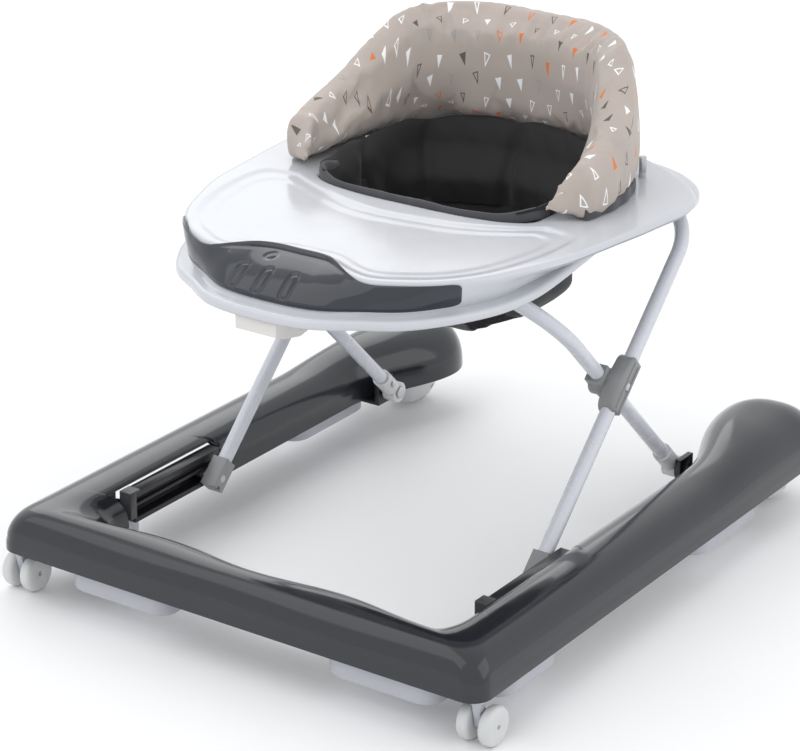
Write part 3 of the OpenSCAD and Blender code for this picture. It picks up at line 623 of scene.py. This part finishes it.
def tray_profile(a):
    """Section of the tray at angle a from its front, as (radius, height) pairs."""
    lip, top, hole, z = LIP(a), TOP(a), OPENING(a), lip_z(a)
    shelf = lip - 16
    pts = [(hole, TRAY_Z - 12), (hole, TRAY_Z - 3.5), (hole + 0.8, TRAY_Z - 1.2),
           (hole + 2.6, TRAY_Z - 0.2), (hole + 5, TRAY_Z)]
    for r in np.linspace(hole + 7, top - 6.5, 44):
        pts.append((r, TRAY_Z - recess_depth(a, r)))
    pts += [(top - 4.6, TRAY_Z - 0.1), (top - 2.2, TRAY_Z - 0.8), (top - 0.6, TRAY_Z - 2.4)]
    pts += [skirt_point(a, f) for f in (0, 0.15, 0.35, 0.55, 0.75, 0.9, 1)]
    pts += [(shelf + 4, z + 9.4), (lip - 6, z + 9.2), (lip - 2.4, z + 8.6), (lip - 0.6, z + 7),
            (lip, z + 4.5), (lip, z + 1), (lip - 0.8, z), (lip - 2.2, z), (lip - 3, z + 1),
            (lip - 4, z + 6), (shelf - 4, z + 7.5), (top - 3, TRAY_Z - 8.5),
            (top - 9, TRAY_Z - 3.1), (hole + 3, TRAY_Z - 3.1), (hole + 3, TRAY_Z - 12)]
    return np.array([(float(r), float(h)) for r, h in pts])


def build_tray():
    rings = []
    for a in np.linspace(0, 360, 361)[:-1]:
        profile = tray_profile(a)
        rings.append(polar(a, profile[:, 0], profile[:, 1]))
    tray = add_grid("tray_moulding", np.array(rings), M_TRAY, close_rows=True, close_cols=True, angle=55)
    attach(tray, "tray")
    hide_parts("tray_top")


build_tray()


# ---- Front panel ----

PANEL_HALF = 38


def panel_hump(a):
    return float(smooth((22 - abs(a + 1)) / 13))


def slope_point(a, t):
    """A point on the tray's front skirt, from its foot at t 0 to its edge at t 1, and
    from there over the edge onto the top."""
    if t <= 1:
        return skirt_point(a, 1 - t)
    e = min(1.0, (t - 1) / 0.14)
    return TOP(a) - 7 * e * e, TRAY_Z - 5 + 5 * math.sin(e * math.pi / 2)


def panel_lift(a, t):
    """Height of the panel's skin above the skirt, with the hump, its grooves and a dimple."""
    hump = panel_hump(a)
    lift = 4.2 + hump * (1.0 + 4.2 * math.sin(math.pi * min(1, max(0, t))))
    for centre in (-7.9, -2.0, 4.1):
        oval = math.hypot((a - centre) / 0.95, max(0, abs(t - 0.34) - 0.15) / 0.085)
        lift -= 1.5 * math.exp(-((oval - 1) / 0.34) ** 2) * hump
    ring = math.hypot((a + 4.8) / 1.1, (t - 0.83) / 0.075)
    return lift - 0.9 * math.exp(-((ring - 1) / 0.4) ** 2)


def panel_point(a, t, lift):
    r, z = slope_point(a, t)
    over = min(1.0, max(0.0, (t - 0.9) / 0.2))
    out = 0.5 * (1 - over)
    height = z + 0.85 * lift + 3.5 * panel_hump(a) * min(1, t)
    return polar(a, np.array(r + out * lift), np.array(height))


def left_end(a):
    """The panel's left end reaches over the tray's edge."""
    return 0.1 * float(smooth((-a - 26) / 8))


def quarter_round(e):
    return math.sqrt(max(0.0, 1 - (1 - min(1.0, max(0.0, e))) ** 2))


def build_panel():
    rows = []
    for a in np.linspace(-PANEL_HALF, PANEL_HALF, 381):
        corner = 1 - quarter_round((PANEL_HALF - abs(a)) / 2.6)
        low, high = 0.06 + 0.16 * corner, 0.985 + 0.135 * panel_hump(a) + left_end(a) - 0.14 * corner
        round_end = quarter_round((PANEL_HALF - abs(a)) / 0.9)
        top_skin, under = [], []
        for t in np.linspace(low, high, 81):
            round_rim = quarter_round(min(t - low, high - t) / 0.045)
            lift = 1.2 + (panel_lift(a, t) - 1.2) * round_end * (0.3 + 0.7 * round_rim)
            top_skin.append(panel_point(a, t, lift))
            under.append(panel_point(a, t, 1.0))
        rows.append(np.concatenate([np.array(top_skin), np.array(under)[::-1]]))
    panel = add_grid("panel_moulding", np.array(rows), M_PANEL, close_cols=True, caps=True, angle=50)
    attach(panel, "tray")
    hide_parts("front_panel")


build_panel()


# ---- Soft parts ----

# The backrest follows an ellipse in plan, with half-axes A and B around y BACK_Y
BACK_A, BACK_B, BACK_Y = 190, 172, 420
SOFT_Z = TRAY_Z + 1.2
SOFT_H = 146
CREST_LOFT = 6
CREST = through([(372, 444), (405, 459), (450, 481), (480, 503), (500, 520), (516, 533), (540, 543),
                 (560, 546), (592, 546)])
PAD_HALF_T = 19
PAD_BAND_R = 0.176
LINING_BAND_R = 0.168
RIGHT_PULL, LEFT_PULL = 0.955, 1.03


def pull(x):
    """How far the soft backrest stands in on its right and out on its left."""
    return np.where(np.asarray(x) > 0, RIGHT_PULL, LEFT_PULL)


def back_outer(u, inset):
    a = math.radians(105 * u)
    return np.array([(BACK_A - inset) * math.sin(a), BACK_Y + (BACK_B - inset) * math.cos(a)])


def opening_point(u, out):
    a = 180 - 112 * u
    r = float(OPENING(a)) + out
    return np.array([r * math.sin(math.radians(a)), TRAY_Y - r * math.cos(math.radians(a))])


def set_cloth_uv(obj, coords):
    """Cloth coordinates from a function of the row-frame points (n, 3) to (n, 2)."""
    mesh = obj.data
    st = coords(read_vertices(mesh, "co"))
    layer = mesh.uv_layers.get("cloth") or mesh.uv_layers.new(name="cloth")
    loops = np.zeros(len(mesh.loops), int)
    mesh.loops.foreach_get("vertex_index", loops)
    layer.data.foreach_set("uv", st[loops].astype(np.float32).ravel())


def round_back(co):
    """Along and up the backrest, in metres."""
    x, y = co[:, 0], co[:, 1] - FRONT_Y - BACK_Y * MM
    return np.stack([np.arctan2(x, y) * LINING_BAND_R, co[:, 2] + 0.35 * np.hypot(x, y)], 1)


def pad_section(u):
    """Cross-section of the backrest, as points round it from its outer bottom edge."""
    z = float(CREST(back_outer(u, 0)[1])) + CREST_LOFT
    low, tall = SOFT_Z, z - SOFT_Z
    end = float(smooth((1 - abs(u)) * 6))
    foot = opening_point(u, 5)
    out = []
    for f, inset in ((0, 3), (0.12, 1), (0.3, 0), (0.5, 0.5), (0.7, 2), (0.86, 5), (0.95, 9), (1.0, 17)):
        p = back_outer(u, inset)
        out.append((p[0], p[1], low + f * tall))
    for f, inset in ((0.95, 26), (0.85, 31), (0.68, 34)):
        p = back_outer(u, inset) * end + (foot + (back_outer(u, 30) - foot) * f) * (1 - end)
        out.append((p[0], p[1], low + f * tall))
    for f in (0.5, 0.3, 0.12):
        rim = back_outer(u, 35) * end + (foot + (back_outer(u, 30) - foot) * 0.6) * (1 - end)
        g = smooth((0.68 - f) / 0.68)
        p = rim * (1 - g) + foot * g
        out.append((p[0], p[1], low + f * tall))
    return [(x * float(pull(x)), y, z) for x, y, z in out]


def section_coords(co):
    """Cloth coordinates on the padded backrest: along its band, and round its section."""
    x, y, z = (co / MM).T
    y = y - FRONT_Y / MM
    x = x / pull(x)
    turn = np.arctan2(x / BACK_A, (y - BACK_Y) / BACK_B)
    outer = np.stack([BACK_A * np.sin(turn), BACK_Y + BACK_B * np.cos(turn)], 1)
    inward = np.hypot(outer[:, 0], outer[:, 1] - BACK_Y) - np.hypot(x, y - BACK_Y) - 20
    tall = (CREST(outer[:, 1]) + CREST_LOFT - SOFT_Z) / 2
    angle = np.arctan2(inward / PAD_HALF_T, (z - SOFT_Z - tall) / tall)
    steps = np.linspace(-math.pi, math.pi, 181)
    out = np.zeros(len(x))
    for low, high in zip(steps, steps[1:]):
        mid = (high + low) / 2
        share = np.clip((angle - low) / (high - low), 0, 1)
        out -= share * np.hypot(PAD_HALF_T * math.cos(mid), tall * math.sin(mid)) * (high - low)
    return np.stack([turn * PAD_BAND_R, out * MM], 1)


def build_pad():
    grid = np.array([pad_section(u) for u in np.linspace(-1.06, 1, 95)])
    centre = grid.mean(1, keepdims=True)
    # smaller and a little higher, because the cloth swells
    slim = centre + (grid - centre) * np.array([0.95, 0.95, 0.99]) + np.array([0, 0, 2.5])
    pad = add_grid("backrest_cushion", slim, M_PRINT, close_cols=True, caps=True)
    puff(pad, voxel=0.005, pressure=5.0, cap=0.009)
    press_seams(pad)
    set_cloth_uv(pad, section_coords)
    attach(pad, "tray")
    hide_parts("backrest_pad")


PUFF_STEPS = 20


def puff(obj, voxel, pressure, cap):
    """Fills the piece with air as cloth, limits how far a point moves, and keeps it."""
    bpy.ops.object.select_all(action="DESELECT")
    remesh = obj.modifiers.new("remesh", "REMESH")
    remesh.mode = "VOXEL"
    remesh.voxel_size = voxel
    apply_modifier(obj, "remesh")
    before = read_vertices(obj.data, "co")
    cloth = obj.modifiers.new("cloth", "CLOTH")
    cloth.settings.use_pressure = True
    cloth.settings.uniform_pressure_force = pressure
    cloth.settings.effector_weights.gravity = 0
    cloth.settings.quality = 5
    cloth.point_cache.frame_start = 1
    cloth.point_cache.frame_end = PUFF_STEPS
    scene = bpy.context.scene
    for step in range(1, PUFF_STEPS + 1):
        scene.frame_set(step)
    dg = bpy.context.evaluated_depsgraph_get()
    move = read_vertices(obj.evaluated_get(dg).data, "co") - before
    obj.modifiers.remove(cloth)
    scene.frame_set(1)
    far = np.linalg.norm(move, axis=1)
    move *= np.minimum(1, cap / np.maximum(far, 1e-9))[:, None]
    obj.data.vertices.foreach_set("co", (before + move).ravel())
    obj.data.update()
    subdivide(obj)
    apply_modifier(obj, "detail")
    shade(obj.data, 180)


FOLD_DEPTH = 0.0016
CREASE_DEPTH = 0.0009


def press_seams(obj):
    """Wrinkles that pull in along the lower seam and soft folds up the wings."""
    mesh = obj.data
    co = read_vertices(mesh, "co")
    x, y = co[:, 0], co[:, 1] - FRONT_Y - BACK_Y * MM
    ang = np.arctan2(x, y)
    h = (co[:, 2] - SOFT_Z * MM) / (SOFT_H * MM)
    folds = (np.sin(ang * 31 + 2.1 * np.sin(ang * 5)) * 0.6 + np.sin(ang * 53 + h * 3) * 0.4)
    near_foot = np.clip(1 - h / 0.45, 0, 1) ** 1.5
    slow = np.sin(ang * 6.5 + h * 4.0) * np.sin(ang * 2.3 - h * 5 + 1.0)
    depth = FOLD_DEPTH * folds * near_foot + FOLD_DEPTH * slow
    # creases that run along the crest, where the cloth is gathered over the board
    crest = np.exp(-((h - 0.86) / 0.10) ** 2)
    depth += CREASE_DEPTH * crest * np.sin(ang * 47 + 1.7 * np.sin(ang * 9))
    co += read_vertices(mesh, "normal") * depth[:, None]
    mesh.vertices.foreach_set("co", co.ravel())
    mesh.update()


build_pad()


def lining_top(u):
    """Height of the lining's upper edge along the backrest."""
    return 425 - 15 * abs(u) ** 1.6 + 1.4 * math.sin(u * 23) + 0.9 * math.sin(u * 41 + 1)


LINING_LOW = 335
LINING_SEAMS = (-0.66, -0.36, -0.05, 0.27, 0.62)


def quilting(u):
    """0 on a sewn channel, rising to 1 between two channels."""
    near = min(abs(u - s) for s in LINING_SEAMS)
    return 1 - math.exp(-(near / 0.028) ** 2)


def build_lining():
    """The quilted upper part of the seat, from inside the tray up to the printed pad."""
    rows = []
    for u in np.linspace(-0.985, 0.985, 161):
        q = quilting(u)
        foot = opening_point(u, -5)
        centre = np.array([0, TRAY_Y])
        away = foot - centre
        away_r = np.linalg.norm(away)
        inner_foot = centre + away * (min(away_r, 150) / away_r)
        top_z = lining_top(u)
        lean = back_outer(u, 37)
        rim = opening_point(u, 5)
        reach = 0.42 * float(smooth((1 - abs(u)) * 4))
        face, back = [], []
        for f in np.linspace(0, 1, 25):
            z = LINING_LOW + f * (top_z - LINING_LOW)
            g = float(smooth((z - 392) / 42))
            deep = float(smooth((398 - z) / 40))
            p = foot * (1 - deep) + inner_foot * deep
            p = p * (1 - g) + (rim + (lean - rim) * reach) * g
            toward = unit(np.array([0, 400]) - p)
            bulge = (8.0 * q + 0.5) * math.sin(math.pi * min(1, max(0, f * 0.9 + 0.1))) ** 0.6
            bulge += 0.5 * math.sin(f * 17 + u * 60) * q
            inner = p + toward * bulge
            face.append((inner[0], inner[1], z))
            back.append((p[0] - toward[0] * 0.6, p[1] - toward[1] * 0.6, z))
        rows.append(np.array(face + back[::-1]))
    lining = add_grid("lining_back", np.array(rows), M_LINING, close_cols=True, caps=True, angle=70)
    set_cloth_uv(lining, round_back)
    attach(lining, "tray")


build_lining()


SLING_BOTTOM = 238
SLING_BACK = 30
LEG_HOLE_X, LEG_HOLE_Y, LEG_HOLE_R = 60, 395, 33
LEG_HOLE_TOP = 300


def sling_point(a, k, inset):
    """Point on the hanging seat at angle a and depth k from 0 at its rim to 1."""
    r = min(float(OPENING(a)) - 5, 161) - inset
    shrink = 1 if k < 0.6 else 1 - 0.75 * ((k - 0.6) / 0.4) ** 2
    radius = r * (1 - 0.2 * float(smooth(k * 1.6))) * shrink
    rim = TRAY_Z - 8 - 17 * float(smooth((min(a, 360 - a) - 70) / 12))
    z = rim - k * (rim - SLING_BOTTOM)
    ang = math.radians(a)
    return np.array([radius * math.sin(ang), 
                     TRAY_Y - radius * math.cos(ang) + SLING_BACK * float(smooth(k)), z])


def build_sling():
    """The seat below the tray: quilted sides, a rounded bottom and two leg holes."""
    angles = np.linspace(0, 360, 145)[:-1]
    ks = np.concatenate([np.linspace(0, 0.6, 14), np.linspace(0.63, 1, 14)])
    rows = []
    for a in angles:
        pleat = abs(math.sin(math.radians(a) * 5)) ** 0.35
        rows.append([sling_point(a, k, 2.2 * (1 - pleat) * math.sin(math.pi * min(1, k * 1.1 + 0.05)))
                     for k in ks])
    grid = np.array(rows)
    n, m = grid.shape[:2]
    verts = list(to_row(grid).reshape(-1, 3))
    hub = len(verts)
    verts.append(to_row(np.array([0, TRAY_Y + SLING_BACK, SLING_BOTTOM + 0.5])))
    faces = []
    for i in range(n):
        j = (i + 1) % n
        for c in range(m - 1):
            faces.append((i * m + c, j * m + c, j * m + c + 1, i * m + c + 1))
        faces.append((i * m + m - 1, j * m + m - 1, hub))

    def in_hole(f):
        mid = np.mean([verts[v] for v in f], axis=0) / MM
        across, along = abs(mid[0]) - LEG_HOLE_X, mid[1] - FRONT_Y / MM - LEG_HOLE_Y
        return mid[2] < LEG_HOLE_TOP and math.hypot(across, along) < LEG_HOLE_R

    faces = [f for f in faces if not in_hole(f)]
    sling = add_mesh("seat_hammock", verts, faces, M_LINING, 70)
    recalculate_normals(sling)
    thick = sling.modifiers.new("thick", "SOLIDIFY")
    thick.thickness = 0.003
    thick.offset = -1
    apply_modifier(sling, "thick")
    shade(sling.data, 70)
    set_cloth_uv(sling, round_back)
    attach(sling, "tray")
    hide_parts("seat_sling")


build_sling()


def binding_lift(a):
    """The binding lies on the tray's inner edge and rises at the opening's corners."""
    b = abs(a)
    return 1.2 + 7.5 * math.exp(-((b - 77) / 9) ** 2) + 0.5 * math.sin(a * 0.13)


def build_binding():
    """A folded strip sewn over the seat's front edge."""
    rows = []
    angles = np.linspace(-88, 88, 177)
    section = [(0.8, -9), (1.2, -3), (0.6, 2.0), (-1.6, 4.4), (-4.0, 4.6), (-6.0, 2.6), (-6.6, -2),
               (-6.0, -9)]
    for a in angles:
        lift = binding_lift(a)
        wave = 0.6 * math.sin(a * 0.16) + 0.3 * math.sin(a * 0.41)
        r = float(OPENING(a))
        rows.append([polar(a, np.array(r + dr + wave - 1.2), np.array(TRAY_Z + lift + dz))
                     for dr, dz in section])
    strip = add_grid("seat_edge_binding", np.array(rows), M_BINDING, close_cols=True, caps=True,
                     angle=60)
    subdivide(strip)
    set_cloth_uv(strip, round_back)
    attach(strip, "tray")
    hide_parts("seat_binding")


build_binding()


WING_SECTION = [(0, 0), (1.4, 0.5), (1.8, 6), (1.4, 11.5), (0.2, 12.5), (-1.6, 11.5), (-1.8, 6),
                (-1.6, 0.5)]


def build_wing_bindings():
    """Grey binding along the outer lower edge of each wing of the backrest."""
    for side, name in ((-1, "wing_binding_left"), (1, "wing_binding_right")):
        rows = []
        for u in np.linspace(0.62, 1.0, 60):
            p = back_outer(side * u, -1.2)
            outward = unit(p - np.array([0, BACK_Y]))
            wave = 0.8 * math.sin(u * 60)
            ring = []
            for out, up in WING_SECTION:
                x, y = p + outward * (out + wave)
                ring.append((x * float(pull(x)), y, TRAY_Z + 0.8 + up + 0.6 * wave))
            rows.append(ring)
        strip = add_grid(name, np.array(rows), M_BINDING, close_cols=True, caps=True, angle=60)
        subdivide(strip)
        set_cloth_uv(strip, round_back)
        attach(strip, "tray")


build_wing_bindings()


# ---- Floor, light and camera ----

FLOOR_HALF = 14
CAMERA_PLACE = (1.5711, -2.3241, 1.3450)
CAMERA_DOWN, CAMERA_TURN = 22.32, 34.79
CAMERA_LENS = 128.12
STUDIO_CENTRE = (0, 0, 0.2)


def build_stage():
    mat, tree, bsdf = new_material("floor")
    shades = [(0.3, (0.90, 0.90, 0.90)), (0.7, (0.93, 0.93, 0.93))]
    tree.links.new(ramp(tree, noise(tree, 2.0, 2), shades), bsdf.inputs["Base Color"])
    bsdf.inputs["Roughness"].default_value = 0.9
    bsdf.inputs["Specular IOR Level"].default_value = 0.1
    corners = [(x * FLOOR_HALF, y * FLOOR_HALF, 0) for x, y in ((-1, -1), (1, -1), (1, 1), (-1, 1))]
    floor = add_mesh("floor", corners, [(0, 1, 2, 3)], mat)
    world = bpy.data.worlds.new("studio")
    bpy.context.scene.world = world
    world.use_nodes = True
    world.node_tree.nodes["Background"].inputs["Color"].default_value = (0.97, 0.98, 1.0, 1)
    world.node_tree.nodes["Background"].inputs["Strength"].default_value = 1.0


def area_light(name, place, size, power):
    data = bpy.data.lights.new(name, "AREA")
    data.shape = "RECTANGLE"
    data.size, data.size_y = size
    data.energy = power
    light = bpy.data.objects.new(name, data)
    bpy.context.scene.collection.objects.link(light)
    light.location = place
    light.rotation_euler = (Vector(STUDIO_CENTRE) - Vector(place)).to_track_quat("-Z", "Y").to_euler()


def build_camera():
    data = bpy.data.cameras.new("camera")
    data.sensor_width = 36
    data.lens = CAMERA_LENS
    camera = bpy.data.objects.new("camera", data)
    bpy.context.scene.collection.objects.link(camera)
    camera.location = CAMERA_PLACE
    camera.rotation_euler = (math.radians(90 - CAMERA_DOWN), 0, math.radians(CAMERA_TURN))
    bpy.context.scene.camera = camera


build_stage()
area_light("key", (-0.9, -1.6, 2.6), (3.2, 2.6), 19)
area_light("rim", (-1.8, 1.6, 1.9), (2.0, 2.0), 14)
area_light("side", (2.4, 0.6, 1.5), (2.0, 2.0), 10)
build_camera()
bpy.context.scene.view_settings.view_transform = "Standard"
